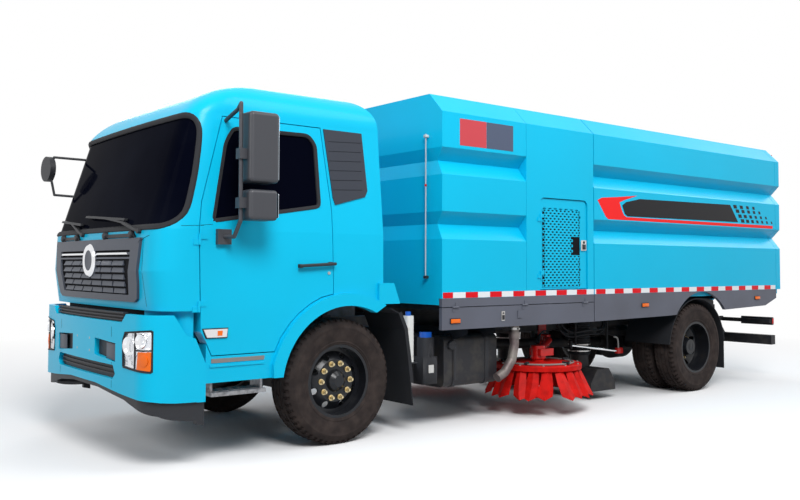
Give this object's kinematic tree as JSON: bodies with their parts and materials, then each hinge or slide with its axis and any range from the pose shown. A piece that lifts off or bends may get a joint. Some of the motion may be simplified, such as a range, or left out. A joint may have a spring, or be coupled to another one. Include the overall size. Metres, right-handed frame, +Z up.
{
  "type": "street sweeper truck",
  "caption": "Two-axle cab-over street sweeper truck with grooved tipping waste body, mid-mounted side brushes, suction nozzle and hinged doors.",
  "frame": {"origin": "on the ground, at the middle of the overall length and width", "axes": "+X forward, +Y to the vehicle's left, +Z up"},
  "size_m": [8.56, 3.0038, 3.02],
  "materials": {
    "body_paint": "gloss sky blue paint",
    "skirt_paint": "satin grey paint",
    "chassis_black": "satin black paint",
    "steel_grey": "grey painted castings",
    "wheel_paint": "black painted wheel discs",
    "tyre_rubber": "black tyre rubber",
    "black_rubber": "matte black rubber",
    "black_plastic": "grained black plastic",
    "dark_glass": "dark tinted glass",
    "lamp_lens": "clear lamp lens",
    "tail_lens": "red and amber lenses",
    "seat_cloth": "dark seat cloth",
    "brush_red": "red plastic bristles",
    "arm_red": "red paint",
    "exhaust_metal": "heat-stained steel",
    "rod_chrome": "hard chrome"
  },
  "bodies": {
    "chassis": {"cab_shell": "body_paint", "front_bumper": "body_paint", "body_covers": "body_paint", "fixed_skirts": "skirt_paint", "frame_rails": "chassis_black", "crossmembers": "chassis_black", "front_axle_beam": "chassis_black", "leaf_springs": "chassis_black", "rear_axle_housing": "chassis_black", "propeller_shaft": "chassis_black", "body_subframe": "chassis_black", "underride_guard": "chassis_black", "fuel_tank": "chassis_black", "engine_blocks": "steel_grey", "mudguards": "black_rubber", "suction_hoses": "black_rubber", "dashboard": "black_plastic", "cab_louvre_panels": "black_plastic", "front_grille": "black_plastic", "bumper_trim": "black_plastic", "cab_steps": "black_plastic", "look_down_mirror": "black_plastic", "wipers": "black_plastic", "battery_box": "black_plastic", "air_drier": "black_plastic", "windscreen": "dark_glass", "headlamps": "lamp_lens", "tail_lamps": "tail_lens", "cab_seats": "seat_cloth", "brush_brackets": "arm_red", "exhaust_pipe": "exhaust_metal"},
    "steer_left": {"steering_knuckle_left": "chassis_black"},
    "steer_right": {"steering_knuckle_right": "chassis_black"},
    "front_wheel_left": {"front_tyre_left": "tyre_rubber", "front_rim_left": "wheel_paint"},
    "front_wheel_right": {"front_tyre_right": "tyre_rubber", "front_rim_right": "wheel_paint"},
    "rear_wheels_left": {"rear_tyres_left": "tyre_rubber", "rear_rims_left": "wheel_paint"},
    "rear_wheels_right": {"rear_tyres_right": "tyre_rubber", "rear_rims_right": "wheel_paint"},
    "door_left": {"cab_door_left": "body_paint", "door_glass_left": "dark_glass", "door_mirror_left": "black_plastic"},
    "door_right": {"cab_door_right": "body_paint", "door_glass_right": "dark_glass", "door_mirror_right": "black_plastic"},
    "service_door": {"service_door": "body_paint"},
    "skirt_door": {"skirt_door": "skirt_paint"},
    "tank": {"waste_tank": "body_paint", "tank_skirts": "skirt_paint"},
    "tail_door": {"tail_door": "body_paint"},
    "tip_barrels": {"tip_cylinder_barrels": "chassis_black"},
    "tip_rods": {"tip_cylinder_rods": "rod_chrome"},
    "brush_arm_left": {"brush_arm_left": "arm_red"},
    "brush_arm_right": {"brush_arm_right": "arm_red"},
    "brush_left": {"side_brush_left": "brush_red"},
    "brush_right": {"side_brush_right": "brush_red"},
    "nozzle": {"suction_nozzle": "steel_grey"}
  },
  "joints": [
    {"name": "steer_left", "type": "hinge", "parent": "chassis", "child": "steer_left", "pos_m": [2.58, 0.85, 0.508], "axis": [0, 0, 1], "range_deg": [-35, 35]},
    {"name": "steer_right", "type": "hinge", "parent": "chassis", "child": "steer_right", "pos_m": [2.58, -0.85, 0.508], "axis": [0, 0, 1], "range_deg": [-35, 35]},
    {"name": "spin_front_left", "type": "hinge", "parent": "steer_left", "child": "front_wheel_left", "pos_m": [2.58, 0.962, 0.508], "axis": [0, 1, 0], "continuous": true},
    {"name": "spin_front_right", "type": "hinge", "parent": "steer_right", "child": "front_wheel_right", "pos_m": [2.58, -0.962, 0.508], "axis": [0, 1, 0], "continuous": true},
    {"name": "spin_rear_left", "type": "hinge", "parent": "chassis", "child": "rear_wheels_left", "pos_m": [-2.42, 0.9, 0.508], "axis": [0, 1, 0], "continuous": true},
    {"name": "spin_rear_right", "type": "hinge", "parent": "chassis", "child": "rear_wheels_right", "pos_m": [-2.42, -0.9, 0.508], "axis": [0, 1, 0], "continuous": true},
    {"name": "door_left_hinge", "type": "hinge", "parent": "chassis", "child": "door_left", "pos_m": [3.877, 1.1993, 1.4], "axis": [0, 0, -1], "range_deg": [0, 68]},
    {"name": "door_right_hinge", "type": "hinge", "parent": "chassis", "child": "door_right", "pos_m": [3.877, -1.1993, 1.4], "axis": [0, 0, 1], "range_deg": [0, 68]},
    {"name": "service_door_hinge", "type": "hinge", "parent": "chassis", "child": "service_door", "pos_m": [0.355, 1.259, 1.66], "axis": [0, 0, -1], "range_deg": [0, 95]},
    {"name": "skirt_door_hinge", "type": "hinge", "parent": "chassis", "child": "skirt_door", "pos_m": [0.58, 1.2583, 1.0815], "axis": [1, 0, 0], "range_deg": [0, 85]},
    {"name": "tank_tip", "type": "hinge", "parent": "chassis", "child": "tank", "pos_m": [-3.95, 0, 1.05], "axis": [0, -1, 0], "range_deg": [0, 45]},
    {"name": "tail_door_hinge", "type": "hinge", "parent": "tank", "child": "tail_door", "pos_m": [-4.125, 0, 3.002], "axis": [0, 1, 0], "range_deg": [0, 85]},
    {"name": "tip_barrel_swing", "type": "hinge", "parent": "chassis", "child": "tip_barrels", "pos_m": [-1.37, 0, 0.82], "axis": [0, 1, 0], "range_deg": [0, 25.6]},
    {"name": "tip_rod_slide", "type": "slide", "parent": "tip_barrels", "child": "tip_rods", "axis": [-0.9895, 0, 0.1446], "range_m": [0, 0.672]},
    {"name": "brush_swing_left", "type": "hinge", "parent": "chassis", "child": "brush_arm_left", "pos_m": [-0.57, 0.5, 0.64], "axis": [0, 0.1483, 0.9889], "range_deg": [0, 20]},
    {"name": "brush_swing_right", "type": "hinge", "parent": "chassis", "child": "brush_arm_right", "pos_m": [-0.57, -0.5, 0.64], "axis": [0, 0.1483, -0.9889], "range_deg": [0, 20]},
    {"name": "brush_spin_left", "type": "hinge", "parent": "brush_arm_left", "child": "brush_left", "pos_m": [0.02, 0.915, 0.5], "axis": [0, 0, 1], "continuous": true},
    {"name": "brush_spin_right", "type": "hinge", "parent": "brush_arm_right", "child": "brush_right", "pos_m": [0.02, -0.915, 0.5], "axis": [0, 0, 1], "continuous": true},
    {"name": "nozzle_lift", "type": "slide", "parent": "chassis", "child": "nozzle", "axis": [0, 0, -1], "range_m": [0, 0.08]}
  ],
  "couplings": [
    {"joint": "steer_right", "follows": "steer_left", "ratio": 1},
    {"joint": "tip_barrel_swing", "follows": "tank_tip", "ratio": 0.5687},
    {"joint": "tip_rod_slide", "follows": "tank_tip", "m_per_rad": 0.8534}
  ]
}
